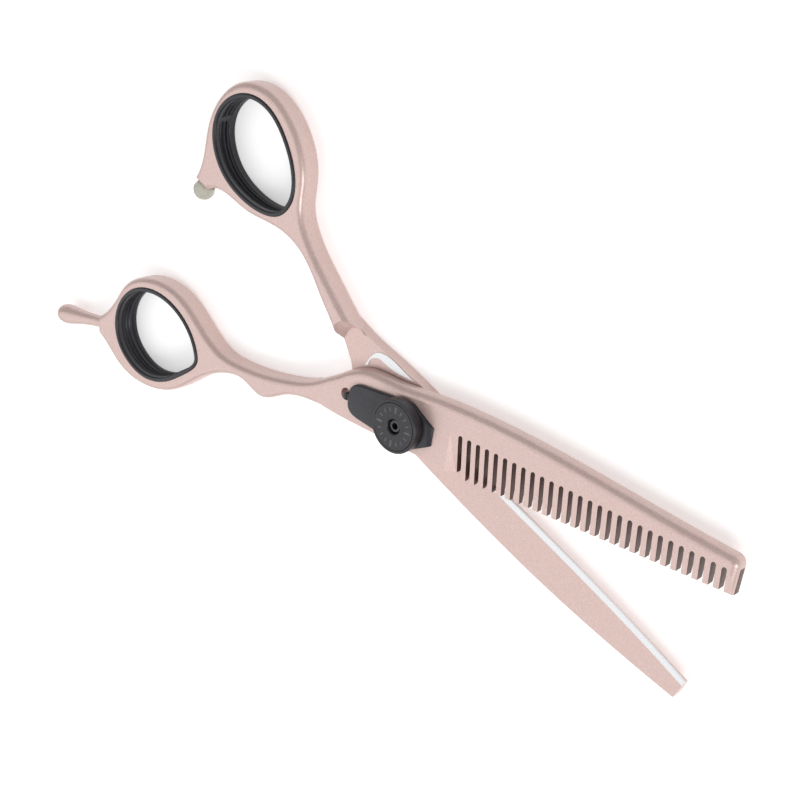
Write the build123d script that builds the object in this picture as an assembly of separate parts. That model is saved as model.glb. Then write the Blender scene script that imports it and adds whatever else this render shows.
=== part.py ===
from build123d import *
import os
from math import cos, sin, radians

# Hair thinning shears: a toothed half and a plain half that cross at an adjustable pivot.
# Millimetres. The origin is the middle of the pivot screw's head, on the plane the head
# rests on. +Z runs up the pivot axis to the tension dial, +X along the toothed blade,
# and +Y to the side that the blade's spine and the thumb ring are on.
# The plain half and what it carries are modelled along the lines they have when the
# shears are closed, and are then turned open about the pivot.

# ---- halves ----------------------------------------------------------------------
HALF_THICKNESS = 2.5        # thickness of each half at the pivot and the blade
FACE_GAP = 0.1              # running gap between the two inner faces
HANDLE_EDGE_R = 1.3         # rounding of the shanks and rings
HANDLE_END_X = -7.0         # the handles run this far into the pivot bodies
BODY_EDGE_R = 0.35          # rounding of the toothed half's lower edge beside the pivot
REST_OPENING = 21.5         # how far the shears stand open, degrees

# ---- toothed blade ---------------------------------------------------------------
BLADE_LENGTH = 70.4         # pivot axis to tip
SPINE_HEEL_Y = 7.9          # spine at the heel, from the pivot line
SPINE_HEEL_X = 11.0
SPINE_MID_Y = 7.35          # spine halfway along
SPINE_TIP_Y = 5.2           # spine at the tip
SPINE_ROUND_R = 1.5         # rounding along the spine
TIP_CORNER_R = 1.6
HEEL_Y = -5.15              # lower edge of the half beside the pivot
TOOTH_PITCH = 2.038
SLOT_WIDTH = 0.95
SLOT_ROOT_Y = 2.9
FIRST_SLOT_X = 13.05        # middle of the first slot
END_TOOTH_WIDTH = 1.6       # least width of the last tooth
TOOTH_TIP_HEEL_Y = -6.3     # tooth tips beside the heel
TOOTH_TIP_END_Y = -1.6      # tooth tips at the blade's tip
TOOTH_TIP_THICKNESS = 0.85
BEVEL_START_Y = 2.3         # the outer face slopes down to the tooth tips from here
SHOULDER_RUN = 1.9          # slope in front of the first slot

# ---- plain blade -----------------------------------------------------------------
TIP_SETBACK = 1.4           # the plain blade ends this much short of the toothed one
EDGE_HEEL_Y = 3.4           # cutting edge at a third of the blade
EDGE_MID_Y = 3.8
EDGE_TIP_Y = 3.2
BACK_TIP_Y = -1.1
BACK_EDGE_Y = -5.4          # back of the blade beside the pivot
EDGE_BEVEL_WIDTH = 4.2      # ground bevel behind the cutting edge
EDGE_THICKNESS = 0.35
BEVEL_START_X = 9.0         # the ground bevel starts here
RIDE_STRIP = 1.15           # flat strip left along the cutting edge by the hollow
BLADE_ROOT_X = -2.0         # the blade starts here, inside the pivot body
HEEL_EDGE_Y = 3.0
HOLLOW_DEPTH = 0.12         # painted floor, below the lands that the other half rides on
SCOOP_CENTRE = (-18.6, 3.3)  # middle of the rounded end of the shank's ramp
SCOOP_FOOT_R = 2.4
SCOOP_SLOPE = 35            # slope of the ramp from upright, degrees

# ---- pivot -----------------------------------------------------------------------
HEAD_R = 4.4
HEAD_PROUD = 0.4            # the screw's head stands out of the plain half by this much
HEAD_THICKNESS = 1.15
HEAD_CHAMFER = 0.3
HEAD_SIDE_CLEARANCE = 0.25
JOURNAL_R = 2.5
JOURNAL_CLEARANCE = 0.03
WASHER_BORE_CLEARANCE = 0.1
BUSH_WALL = 0.8
HEAD_WASHER_THICKNESS = 0.3
WASHER_PLAY = 0.02          # axial play left at each sliding face
GLIDE_R = 5.4
GLIDE_THICKNESS = 0.45
GLIDE_SEAT_CLEARANCE = 0.05
GLIDE_RIM = 0.8             # land round the glide washer's seat
STUD_FLATS = 4.0            # across the flats that key the screw to the toothed half
FLAT_CLEARANCE = 0.03
STUD_SET_DOWN = 0.1         # the flats end this far under the outer face
THREAD_R = 1.35
THREAD_CLEARANCE = 0.05
THREAD_END_CHAMFER = 0.25
SCREW_END_DROP = 0.55       # the screw's end lies this far below the dial's face
SOCKET_FLATS = 1.3
SOCKET_DEPTH = 0.9

# ---- click spring plate ----------------------------------------------------------
PLATE_THICKNESS = 0.8
PLATE_WIDE = 4.8            # half width beside the dial
PLATE_NARROW = 3.45         # half width at the rear
PLATE_REAR_HALF = 2.75      # half width of the rear edge
PLATE_REAR_X = -13.3
PLATE_WAIST_X = -10.6       # the taper to the rear starts here
PLATE_WIDE_X = 1.8          # the taper to the nose starts here
PLATE_NOSE_X = 7.0
PLATE_NOSE_HALF = 1.8
PLATE_REAR_R = 2.3
PLATE_BEVEL = 0.2
NOSE_FACET_RUN = 1.3        # the facet that slopes down to the nose
NOSE_FACET_DROP = 0.55
TAB_WIDTH = 1.3
TAB_REACH = 0.8             # the tab stands out behind the plate
TAB_THICKNESS = 0.6
TAB_DEPTH = 1.0             # the tab reaches into its hole in the toothed half
TAB_HOLE_R = 1.25
TAB_HOLE_SETBACK = 0.6      # the hole's middle is behind the tab's by this much
TAB_HOLE_DEPTH = 1.4

# ---- tension dial ----------------------------------------------------------------
DIAL_R = 5.2
DIAL_HEIGHT = 2.15
DIAL_GAP = 0.1              # dial to plate
DIAL_SERRATIONS = 60
SERRATION_DEPTH = 0.16
DIAL_CHAMFER = 0.2
DIAL_HOLE_CHAMFER = 0.2
DIAL_RECESS_DEPTH = 0.6     # recess in the underside, over the disc spring
DIAL_RECESS_CLEARANCE = 0.3
FACE_RIM = 0.55             # rim between the groove in the face and the side
FACE_GROOVE = 0.15          # width and depth of the groove in the face
DISC_SPRING_R = 3.4
DISC_SPRING_THICKNESS = 0.25
DISC_SPRING_RISE = 0.2

# ---- rings and their liners ------------------------------------------------------
FINGER_RING = (-67.0, -8.6)  # middle of the finger ring
THUMB_RING = (-55.8, 19.1)  # middle of the thumb ring, along the closed lines
INSERT_WALL = 1.0
INSERT_LIP = 0.25           # the liners stand out of the ring faces
INSERT_CLEARANCE = 0.02
INSERT_EDGE_R = 0.35

# ---- finger rest and stop bumper -------------------------------------------------
REST_SEAT = (-18.35, -4.1)  # middle of the boss's end face, from the finger ring's middle
REST_ANGLE = 191.5          # direction of the finger rest, degrees
BOSS_WIDTH = 3.7
REST_LENGTH = 15.2
REST_COLLAR_R = 1.45
REST_NECK_R = 1.3
REST_BULB_R = 2.2
REST_THREAD_R = 0.9
REST_THREAD_LENGTH = 2.6
BUMPER_SEAT = (-9.1, -15.4)  # end of the bumper's arm, from the thumb ring's middle
BUMPER_ANGLE = -94.0
BUMPER_R = 2.2
BUMPER_FOOT_R = 1.9
BUMPER_LENGTH = 3.5
BUMPER_STEM_R = 0.8
BUMPER_STEM_LENGTH = 2.0
STEM_CLEARANCE = 0.02

PAST = 1.0                  # cutters run this far past the faces they cut
LAP = 0.5                   # pieces of one solid run this far into each other

# ---- heights that follow ---------------------------------------------------------
BOTTOM = HEAD_PROUD                             # outer face of the plain half
INNER_LOW = BOTTOM + HALF_THICKNESS             # inner face of the plain half
FLOOR = INNER_LOW - HOLLOW_DEPTH                # painted floor of that face
INNER_HIGH = INNER_LOW + FACE_GAP               # inner face of the toothed half
TOP = INNER_HIGH + HALF_THICKNESS               # outer face of the toothed half
MID = (BOTTOM + TOP) / 2
HEAD_SEAT = HEAD_THICKNESS + HEAD_WASHER_THICKNESS + 2 * WASHER_PLAY
GLIDE_SEAT = INNER_HIGH - WASHER_PLAY - GLIDE_THICKNESS
PLATE_TOP = TOP + PLATE_THICKNESS
DIAL_BASE = PLATE_TOP + DIAL_GAP
DIAL_FACE = DIAL_BASE + DIAL_HEIGHT
SCREW_END = DIAL_FACE - SCREW_END_DROP


# ---- shapes that many pieces use -------------------------------------------------
def smooth_face(*runs):
    """A face whose edge is made of smooth runs of points joined end to end by lines."""
    edges = []
    for run, following in zip(runs, runs[1:] + runs[:1]):
        edges.append(Line(*run).edge() if len(run) == 2 else Spline(*run).edge())
        if run[-1] != following[0]:
            edges.append(Line(run[-1], following[0]).edge())
    return make_face(edges)


def polygon_face(*points):
    """A face with straight sides between the points."""
    return make_face(Polyline(*points, close=True).edges())


def loop_face(points, inset=0.0):
    """A face inside one smooth closed loop through the points, each moved inwards by the inset."""
    loop = Spline(*points, periodic=True).edge()
    middle = sum((Vector(*point) for point in points), Vector()) / len(points)
    moved = []
    for point in points:
        along = loop.tangent_at(Vector(*point))
        inwards = Vector(-along.Y, along.X)
        if inwards.dot(middle - Vector(*point)) < 0:
            inwards = -inwards
        moved.append(Vector(*point) + inwards * inset)
    return make_face([Spline(*moved, periodic=True).edge()])


def about(centre, offsets):
    """Points given by their distances from a centre."""
    return [(centre[0] + along, centre[1] + across) for along, across in offsets]


def slab(face, low, high):
    """The face made solid between two heights."""
    return extrude(Plane.XY.offset(low) * face, high - low)


def disc(radius, low, high, x=0, y=0):
    """A round solid between two heights."""
    return Pos(x, y, (low + high) / 2) * Cylinder(radius, high - low)


def washer(outer, inner, low, thickness):
    """A flat ring."""
    return disc(outer, low, low + thickness) - disc(inner, low - PAST, low + thickness + PAST)


def turned(face, centre, seat, angle):
    """A face turned about an axis that leaves the seat at an angle, halfway up the handles."""
    place = about(centre, [seat])[0]
    return Pos(*place, MID) * Rot(0, 0, angle) * revolve(face, Axis.X)


def stem_face(radius, length):
    """Half section of a stem that runs back from its seat and a little in front of it."""
    return polygon_face((-length, 0), (-length, radius), (LAP, radius), (LAP, 0))


def opened(shape):
    """A piece of the plain half turned from its closed lines to its place at rest."""
    return Rot(0, 0, -REST_OPENING) * shape


# ---- outlines --------------------------------------------------------------------
def boss_corner(side):
    """Corner of the finger rest's boss, whose end is square to the rest."""
    across = radians(REST_ANGLE - 90)
    reach = side * BOSS_WIDTH / 2
    seat = about(FINGER_RING, [REST_SEAT])[0]
    return seat[0] + reach * cos(across), seat[1] + reach * sin(across)


def finger_handle_face():
    """Outline of the finger ring and its shank, round the boss and the finger spur."""
    upper_shank = [(HANDLE_END_X, 3.9), (-10, 4.2), (-14, 4.1), (-17.4, 2.7), (-24, -1.4), (-30, -3.5),
                   (-36, -4.8), (-43, -5.5), (-48.5, -5.1)]
    upper_ring = [(12.7, 6.7), (6.5, 10.8), (-1.0, 12.2), (-10.9, 7.9), (-13.8, 3.2)]
    lower_ring = [(-15.2, -7.5), (-12.5, -9.5), (-9.7, -11.1), (-3.8, -12.3), (6.4, -9.65), (14.5, -3.3)]
    lower_shank = [(-46.6, -8.9), (-41.5, -8.4), (-36.6, -9.9), (-30.6, -7.2), (-20, -5.2),
                   (HANDLE_END_X, -4.0)]
    outer = upper_shank + about(FINGER_RING, upper_ring) + [boss_corner(1)]
    inner = [boss_corner(-1)] + about(FINGER_RING, lower_ring) + lower_shank
    return smooth_face(outer, inner)


def finger_opening():
    """Loop of the hole in the finger ring, which the liner fills."""
    return about(FINGER_RING, [(12.8, 0.6), (9.7, 5.7), (4.5, 9.1), (-1.5, 10.15), (-8.3, 7.9), (-12.5, 1.4),
                               (-11.4, -5.0), (-7.5, -8.7), (-2.5, -10.2), (3.0, -9.1), (9.5, -4.7)])


def thumb_handle_face():
    """Outline of the thumb ring, its shank and the bumper's arm, along the closed lines."""
    upper_shank = [(HANDLE_END_X, 4.2), (-12, 5.2), (-18, 5.9), (-23, 7.5), (-29.5, 10.1), (-36, 13.1)]
    upper_ring = [(15.0, -1.8), (12.8, 3.2), (9.0, 8.0), (3.5, 11.2), (-3.5, 12.1), (-10.6, 8.4),
                  (-13.3, 2.0), (-13.1, -3.4), (-11.7, -8.0), (-10.9, -14.8)]
    lower_ring = [(-7.3, -14.9), (-4.6, -12.8), (-1.3, -12.1), (3.9, -11.5), (10.2, -9.5)]
    lower_shank = [(-39.5, 10.4), (-34, 8.9), (-28.5, 5.9), (-23.4, 3.2), (-19.5, 0.5), (-15, -2.5),
                   (HANDLE_END_X, -4.0)]
    outer = upper_shank + about(THUMB_RING, upper_ring)
    inner = about(THUMB_RING, lower_ring) + lower_shank
    return smooth_face(outer, inner)


def thumb_opening():
    """Loop of the hole in the thumb ring, along the closed lines."""
    return about(THUMB_RING, [(-11.9, -0.7), (-10.2, 5.9), (-5.8, 9.4), (-0.6, 10.0), (5.8, 7.4), (10.4, 3.4),
                              (12.6, -1.5), (11.4, -6.1), (6.9, -9.0), (1.6, -9.9), (-4.0, -9.2), (-9.0, -6.2)])


def toothed_outline():
    """Spine and lower edges of the pivot body and the toothed blade, from the finger shank to the tip."""
    slot_side = FIRST_SLOT_X - SLOT_WIDTH / 2
    spine = [(-26, -3.0), (-20, 0.7), (-15, 4.5), (-11.5, 6.1), (-4, 6.6), (4, 7.35), (SPINE_HEEL_X, SPINE_HEEL_Y),
             (0.55 * BLADE_LENGTH, SPINE_MID_Y), (BLADE_LENGTH, SPINE_TIP_Y)]
    tip = [(BLADE_LENGTH, SPINE_TIP_Y), (BLADE_LENGTH, TOOTH_TIP_END_Y)]
    teeth = [(BLADE_LENGTH, TOOTH_TIP_END_Y), (slot_side, TOOTH_TIP_HEEL_Y)]
    step = [(slot_side, TOOTH_TIP_HEEL_Y), (slot_side, HEEL_Y)]
    heel = [(slot_side, HEEL_Y), (-14, HEEL_Y)]
    shank = [(-14, HEEL_Y), (-20, -4.85), (-26, -4.1)]
    return smooth_face(spine, tip, teeth, step, heel, shank)


def plain_body_face():
    """Outline of the plain half's pivot body, along its closed lines."""
    upper = [(8, 5.2), (4, 6.6), (-1, 6.9), (-9.7, 6.5), (-16, 6.0), (-21, 6.2), (-24.5, 6.2)]
    lower = [(-24.5, 4.9), (-21.0, 1.5), (-17.8, -0.6), (-15.3, -3.2), (-11.5, -5.0), (-6, BACK_EDGE_Y),
             (6, BACK_EDGE_Y)]
    return smooth_face(upper, lower)


def rounded_handle(face):
    """A full-thickness handle with its edges rounded, all but the end inside the pivot body."""
    solid = slab(face, BOTTOM, TOP)
    levels = solid.edges().group_by(Axis.Z)
    rims = (levels[0] + levels[-1]).filter_by(lambda e: e.center().X < HANDLE_END_X - 1)
    return fillet(rims, HANDLE_EDGE_R)


# ---- toothed half ----------------------------------------------------------------
def toothed_body():
    """Pivot body and blade with one rounded spine, bevelled teeth and a slot between each pair."""
    body = slab(toothed_outline(), INNER_HIGH, TOP)
    corner = body.edges().filter_by(Axis.Z).sort_by(Axis.X)[-2:].sort_by(Axis.Y)[-1]
    body = fillet(corner, TIP_CORNER_R)
    rims = body.edges().group_by(Axis.Z)[-1]
    body = fillet(rims.filter_by(lambda e: e.center().Y > SPINE_TIP_Y - TIP_CORNER_R), SPINE_ROUND_R)
    rims = body.edges().group_by(Axis.Z)[-1]
    body = fillet(rims.filter_by(lambda e: e.center().X < SPINE_HEEL_X and e.center().Y < HEEL_Y / 2), BODY_EDGE_R)
    return body - tooth_bevel_cutter() - slot_cutters()


def tooth_bevel_cutter():
    """Wedge that slopes the outer face down to the tooth tips, ending in the shoulder."""
    drop = HALF_THICKNESS - TOOTH_TIP_THICKNESS
    slope = drop / (BEVEL_START_Y - TOOTH_TIP_HEEL_Y)
    low_y = TOOTH_TIP_HEEL_Y - PAST
    low_z = TOP - slope * (BEVEL_START_Y - low_y)
    section = polygon_face((0, BEVEL_START_Y, TOP), (0, low_y, low_z), (0, low_y, TOP + PAST),
                           (0, BEVEL_START_Y, TOP + PAST))
    foot = FIRST_SLOT_X - SLOT_WIDTH / 2
    wedge = Pos(foot - SHOULDER_RUN, 0, 0) * extrude(section, BLADE_LENGTH, dir=(1, 0, 0))
    shoulder = Plane(origin=(foot, 0, TOP - drop), x_dir=(0, 1, 0), z_dir=(drop, 0, SHOULDER_RUN))
    return wedge.split(shoulder, keep=Keep.TOP)


def slot_cutters():
    """The slots between the teeth, each with a round root."""
    low = TOOTH_TIP_HEEL_Y - PAST
    root = SLOT_ROOT_Y - SLOT_WIDTH / 2
    slot = Pos(0, (low + root) / 2, 0) * Rectangle(SLOT_WIDTH, root - low)
    slot += Pos(0, root, 0) * Circle(SLOT_WIDTH / 2)
    last = BLADE_LENGTH - END_TOOTH_WIDTH - SLOT_WIDTH / 2
    count = int((last - FIRST_SLOT_X) / TOOTH_PITCH) + 1
    places = [Pos(FIRST_SLOT_X + number * TOOTH_PITCH, 0, 0) for number in range(count)]
    return [place * slab(slot, INNER_HIGH - PAST, TOP + PAST) for place in places]


def keyed_profile(radius, flats):
    """A circle with two flats: the section that keys the screw."""
    return Circle(radius) & Rectangle(flats, 2 * radius)


def crossing_cutter():
    """Cone round the pivot that clears the finger shank for the plain half's body."""
    near = 22.5
    far = 25.0
    slope = (far - near) / (INNER_HIGH - BOTTOM)
    points = [(0, 0, INNER_HIGH), (near, 0, INNER_HIGH), (far + slope * LAP, 0, BOTTOM - LAP),
              (0, 0, BOTTOM - LAP)]
    return revolve(polygon_face(*points), Axis.Z)


def toothed_half():
    """Toothed blade, pivot body, finger shank and finger ring in one forging."""
    half = toothed_body() + (rounded_handle(finger_handle_face()) - crossing_cutter())
    key_hole = keyed_profile(JOURNAL_R + FLAT_CLEARANCE, STUD_FLATS + 2 * FLAT_CLEARANCE)
    tab_hole_x = PLATE_REAR_X - TAB_REACH + TAB_THICKNESS / 2 - TAB_HOLE_SETBACK
    half -= slab(loop_face(finger_opening()), BOTTOM - PAST, TOP + PAST)
    half -= slab(key_hole, INNER_HIGH - PAST, TOP + PAST)
    half -= disc(TAB_HOLE_R, TOP - TAB_HOLE_DEPTH, TOP + PAST, x=tab_hole_x)
    half -= rest_thread(STEM_CLEARANCE)
    return half


# ---- plain half ------------------------------------------------------------------
def plain_blade():
    """Blade with a ground bevel behind the cutting edge."""
    tip_x = BLADE_LENGTH - TIP_SETBACK
    root = (BLADE_ROOT_X, HEEL_EDGE_Y)
    edge = Spline(root, (0.36 * tip_x, EDGE_HEEL_Y), (0.7 * tip_x, EDGE_MID_Y), (tip_x, EDGE_TIP_Y))
    tip = Line((tip_x, EDGE_TIP_Y), (tip_x, BACK_TIP_Y))
    back = Spline((tip_x, BACK_TIP_Y), (0.8 * tip_x, -3.1), (0.55 * tip_x, -4.8), (0.29 * tip_x, -5.5),
                  (BLADE_ROOT_X, BACK_EDGE_Y))
    heel = Line((BLADE_ROOT_X, BACK_EDGE_Y), root)
    blade = slab(make_face([edge.edge(), tip.edge(), back.edge(), heel.edge()]), BOTTOM, INNER_LOW)
    return blade - edge_bevel_cutter() - hollow_cutter()


def edge_bevel_cutter():
    """Wedge that thins the outer face towards the cutting edge."""
    y_edge = EDGE_MID_Y + LAP
    y_start = EDGE_MID_Y - EDGE_BEVEL_WIDTH
    high = INNER_LOW - EDGE_THICKNESS
    section = polygon_face((0, y_start, BOTTOM), (0, y_edge, high), (0, y_edge, BOTTOM - PAST),
                           (0, y_start, BOTTOM - PAST))
    return Pos(BEVEL_START_X, 0, 0) * extrude(section, BLADE_LENGTH, dir=(1, 0, 0))


def hollow_cutter():
    """Shallow hollow in the inner face that leaves a ride strip along the cutting edge."""
    root_x = BLADE_ROOT_X - PAST
    start = (root_x, HEEL_EDGE_Y - RIDE_STRIP)
    end = (BLADE_LENGTH, EDGE_TIP_Y - RIDE_STRIP)
    edge = Spline(start, (0.36 * BLADE_LENGTH, EDGE_HEEL_Y - RIDE_STRIP),
                  (0.7 * BLADE_LENGTH, EDGE_MID_Y - RIDE_STRIP), end)
    low_y = BACK_EDGE_Y - 2 * PAST
    back = Polyline(end, (BLADE_LENGTH, low_y), (root_x, low_y), start)
    return slab(make_face([edge.edge(), *back.edges()]), FLOOR, INNER_LOW + PAST)


def ride_lands():
    """Lands that the toothed half rides on: a crescent behind the pivot and a rim round the glide washer."""
    outer = [(-14.3, 0.8), (-14.1, 3.05), (-13.25, 5.0), (-11.5, 6.0), (-7.95, 6.4), (-3.5, 6.6)]
    inner = [(-4.55, 6.05), (-7.35, 5.05), (-10.4, 4.5), (-12.4, 4.25), (-13.3, 3.6), (-13.75, 1.35)]
    crescent = smooth_face(outer, inner) & plain_body_face()
    return slab(crescent, FLOOR - LAP, INNER_LOW) + disc(GLIDE_R + GLIDE_RIM, FLOOR - LAP, INNER_LOW)


def scoop_cutter():
    """Ramp between the full-thickness thumb shank and the floor of the plain half's inner face."""
    centre_x, centre_y = SCOOP_CENTRE
    left = centre_x - SCOOP_FOOT_R
    high = centre_y + SCOOP_FOOT_R
    low = 2 * BACK_EDGE_Y
    diagonal = SCOOP_FOOT_R * cos(radians(45))
    end = ThreePointArc((left, centre_y), (centre_x - diagonal, centre_y + diagonal), (centre_x, high))
    sides = Polyline((centre_x, high), (0, high), (0, low), (left, low), (left, centre_y))
    foot = make_face([end.edge(), *sides.edges()])
    return extrude(Plane.XY.offset(FLOOR) * foot, TOP - FLOOR + FACE_GAP, taper=-SCOOP_SLOPE)


def pivot_seats():
    """Counterbore for the screw's head, bore for the bush and seat for the glide washer."""
    seats = disc(HEAD_R + HEAD_SIDE_CLEARANCE, BOTTOM - PAST, HEAD_SEAT)
    seats += disc(JOURNAL_R + JOURNAL_CLEARANCE + BUSH_WALL, HEAD_SEAT - LAP, INNER_LOW)
    return seats + disc(GLIDE_R + GLIDE_SEAT_CLEARANCE, GLIDE_SEAT, INNER_LOW + PAST)


def plain_half():
    """Plain blade, pivot body, thumb shank and thumb ring in one forging."""
    body = slab(plain_body_face(), BOTTOM, FLOOR)
    handle = rounded_handle(thumb_handle_face()) - scoop_cutter()
    half = body + handle + plain_blade() + ride_lands()
    half -= slab(loop_face(thumb_opening()), BOTTOM - PAST, TOP + PAST)
    half -= pivot_seats()
    half -= bumper_stem(STEM_CLEARANCE)
    return half


# ---- pivot pieces ----------------------------------------------------------------
def pivot_screw():
    """Screw with a flat head, a round journal, keyed flats and a threaded end."""
    head = chamfer(disc(HEAD_R, 0, HEAD_THICKNESS).edges(), HEAD_CHAMFER)
    thread = disc(THREAD_R, TOP - LAP, SCREW_END)
    thread = chamfer(thread.edges().group_by(Axis.Z)[-1], THREAD_END_CHAMFER)
    screw = head + disc(JOURNAL_R, HEAD_THICKNESS / 2, INNER_HIGH)
    screw += slab(keyed_profile(JOURNAL_R, STUD_FLATS), INNER_HIGH - FACE_GAP, TOP - STUD_SET_DOWN)
    socket = RegularPolygon(SOCKET_FLATS / 2, 6, major_radius=False)
    return screw + thread - slab(socket, SCREW_END - SOCKET_DEPTH, SCREW_END + PAST)


def head_washer():
    """Slide washer between the screw's head and the plain half."""
    bore = JOURNAL_R + WASHER_BORE_CLEARANCE
    return washer(HEAD_R, bore, HEAD_THICKNESS + WASHER_PLAY, HEAD_WASHER_THICKNESS)


def pivot_bush():
    """Bush pressed into the plain half, round the screw's journal."""
    inner = JOURNAL_R + JOURNAL_CLEARANCE
    return washer(inner + BUSH_WALL, inner, HEAD_SEAT, GLIDE_SEAT - HEAD_SEAT)


def glide_washer():
    """Low-friction washer that the two halves turn on."""
    return washer(GLIDE_R, JOURNAL_R + WASHER_BORE_CLEARANCE, GLIDE_SEAT, GLIDE_THICKNESS)


def plate_face():
    """Outline of the plate: widest beside the dial, with a flat nose between slanted sides."""
    side = [(PLATE_REAR_X, PLATE_REAR_HALF), (PLATE_WAIST_X, PLATE_NARROW), (PLATE_WIDE_X, PLATE_WIDE),
            (PLATE_NOSE_X, PLATE_NOSE_HALF)]
    other_side = [(x, -y) for x, y in reversed(side)]
    return polygon_face(*side, *other_side)


def nose_facet_cutter():
    """Wedge over the facet at the plate's nose."""
    far_x = PLATE_NOSE_X + PAST
    slope = NOSE_FACET_DROP / NOSE_FACET_RUN
    section = polygon_face((PLATE_NOSE_X - NOSE_FACET_RUN, -PLATE_WIDE, PLATE_TOP),
                           (far_x, -PLATE_WIDE, PLATE_TOP - NOSE_FACET_DROP - slope * PAST),
                           (far_x, -PLATE_WIDE, PLATE_TOP + PAST),
                           (PLATE_NOSE_X - NOSE_FACET_RUN, -PLATE_WIDE, PLATE_TOP + PAST))
    return extrude(section, 2 * PLATE_WIDE, dir=(0, 1, 0))


def click_spring_plate():
    """Leaf spring under the dial, with a tab that hooks into the toothed half."""
    plate = slab(plate_face(), TOP, PLATE_TOP)
    rear = plate.edges().filter_by(Axis.Z).group_by(Axis.X)[0]
    plate = fillet(rear, PLATE_REAR_R)
    plate = chamfer(plate.edges().group_by(Axis.Z)[-1], PLATE_BEVEL) - nose_facet_cutter()
    tab_end = PLATE_REAR_X - TAB_REACH
    tab = Pos(PLATE_REAR_X, 0, TOP + PLATE_THICKNESS / 2) * Box(2 * TAB_REACH, TAB_WIDTH, PLATE_THICKNESS)
    tab += Pos(tab_end + TAB_THICKNESS / 2, 0, TOP) * Box(TAB_THICKNESS, TAB_WIDTH, 2 * TAB_DEPTH)
    return plate + tab - disc(THREAD_R + THREAD_CLEARANCE, TOP - PAST, PLATE_TOP + PAST)


def disc_spring():
    """Dished spring washer between the plate and the dial."""
    inner = THREAD_R + THREAD_CLEARANCE
    foot = PLATE_TOP
    points = [(DISC_SPRING_R, 0, foot), (DISC_SPRING_R, 0, foot + DISC_SPRING_THICKNESS),
              (inner, 0, foot + DISC_SPRING_THICKNESS + DISC_SPRING_RISE), (inner, 0, foot + DISC_SPRING_RISE)]
    return revolve(polygon_face(*points), Axis.Z)


def serrated_face():
    """The dial's outline: fine serrations all round."""
    step = radians(360 / DIAL_SERRATIONS)
    points = []
    for number in range(DIAL_SERRATIONS):
        for radius, angle in ((DIAL_R, number * step), (DIAL_R - SERRATION_DEPTH, (number + 0.5) * step)):
            points.append((radius * cos(angle), radius * sin(angle)))
    return polygon_face(*points)


def tension_dial():
    """Serrated nut with a grooved face and a hole over the screw's end."""
    blank = disc(DIAL_R, DIAL_BASE, DIAL_FACE)
    blank = chamfer(blank.edges().group_by(Axis.Z)[-1], DIAL_CHAMFER)
    blank = chamfer(blank.edges().group_by(Axis.Z)[0], DIAL_CHAMFER)
    dial = blank & slab(serrated_face(), DIAL_BASE - PAST, DIAL_FACE + PAST)
    dial -= disc(DISC_SPRING_R + DIAL_RECESS_CLEARANCE, DIAL_BASE - PAST, DIAL_BASE + DIAL_RECESS_DEPTH)
    dial -= disc(THREAD_R + THREAD_CLEARANCE, DIAL_BASE, DIAL_FACE + PAST)
    mouth = dial.edges().group_by(Axis.Z)[-1].filter_by(GeomType.CIRCLE).sort_by(SortBy.RADIUS)[0]
    dial = chamfer(mouth, DIAL_HOLE_CHAMFER)
    groove_r = DIAL_R - FACE_RIM
    groove_floor = DIAL_FACE - FACE_GROOVE
    return dial - washer(groove_r, groove_r - FACE_GROOVE, groove_floor, FACE_GROOVE + PAST)


# ---- soft and screwed-in pieces --------------------------------------------------
def ring_insert(opening):
    """Rubber liner that lines a ring's hole and stands a little out of both faces."""
    liner = slab(loop_face(opening, INSERT_CLEARANCE), BOTTOM - INSERT_LIP, TOP + INSERT_LIP)
    liner -= slab(loop_face(opening, INSERT_WALL), BOTTOM - PAST, TOP + PAST)
    ends = liner.edges().group_by(Axis.Z)
    return fillet(ends[0] + ends[-1], INSERT_EDGE_R)


def rest_thread(clearance):
    """Threaded stem of the finger rest, or its hole with a clearance."""
    face = stem_face(REST_THREAD_R + clearance, REST_THREAD_LENGTH + clearance)
    return turned(face, FINGER_RING, REST_SEAT, REST_ANGLE)


def finger_rest():
    """Screw-in finger rest: a slim neck that swells to a rounded end."""
    swell = Spline((0, REST_COLLAR_R), (0.16 * REST_LENGTH, REST_NECK_R), (0.51 * REST_LENGTH, 1.6),
                   (0.78 * REST_LENGTH, REST_BULB_R), (0.94 * REST_LENGTH, 1.75), (REST_LENGTH, 0))
    axis_line = Polyline((REST_LENGTH, 0), (0, 0), (0, REST_COLLAR_R))
    rest = make_face([swell.edge(), *axis_line.edges()])
    return turned(rest, FINGER_RING, REST_SEAT, REST_ANGLE) + rest_thread(0)


def bumper_stem(clearance):
    """Stem that holds the bumper in its arm, or its hole with a clearance."""
    face = stem_face(BUMPER_STEM_R + clearance, BUMPER_STEM_LENGTH + clearance)
    return turned(face, THUMB_RING, BUMPER_SEAT, BUMPER_ANGLE)


def bumper():
    """Soft round-ended stop pushed into the end of its arm."""
    base = BUMPER_LENGTH - BUMPER_R
    diagonal = BUMPER_R * cos(radians(45))
    sides = Polyline((BUMPER_LENGTH, 0), (0, 0), (0, BUMPER_FOOT_R), (base, BUMPER_R))
    dome = ThreePointArc((base, BUMPER_R), (base + diagonal, diagonal), (BUMPER_LENGTH, 0))
    face = make_face([*sides.edges(), dome.edge()])
    return turned(face, THUMB_RING, BUMPER_SEAT, BUMPER_ANGLE) + bumper_stem(0)


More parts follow.
